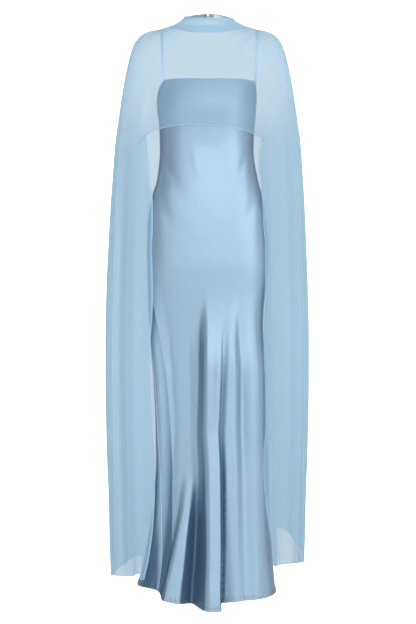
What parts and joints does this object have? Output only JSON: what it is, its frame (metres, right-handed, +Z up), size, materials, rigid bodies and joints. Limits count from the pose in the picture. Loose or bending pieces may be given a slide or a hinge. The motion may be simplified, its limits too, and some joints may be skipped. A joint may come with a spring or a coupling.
{
  "type": "cape dress",
  "caption": "Full-length bias-cut satin slip dress on thin straps under a sheer chiffon cape with a funnel collar, a cropped front and long falls at the sides.",
  "frame": {"origin": "midway between the two shoulders, at the height where they carry the dress", "axes": "+Z up, -Y towards the front of the dress, +X to the right of a viewer who faces the front"},
  "size_m": [0.5509, 0.3903, 1.5921],
  "materials": {
    "satin": "light blue silk satin with a soft sheen and fine diagonal slubs",
    "chiffon": "light blue sheer silk chiffon, matt",
    "tape": "off-white woven tape, blank",
    "pearl": "light blue pearl button"
  },
  "bodies": {
    "root": {"slip_front": "satin", "slip_back": "satin", "strap_left": "satin", "strap_right": "satin", "cape_front": "chiffon", "cape_back": "chiffon", "collar": "chiffon", "neck_label": "tape", "size_tab": "tape", "neck_button": "pearl", "neck_loop": "satin"}
  },
  "joints": []
}
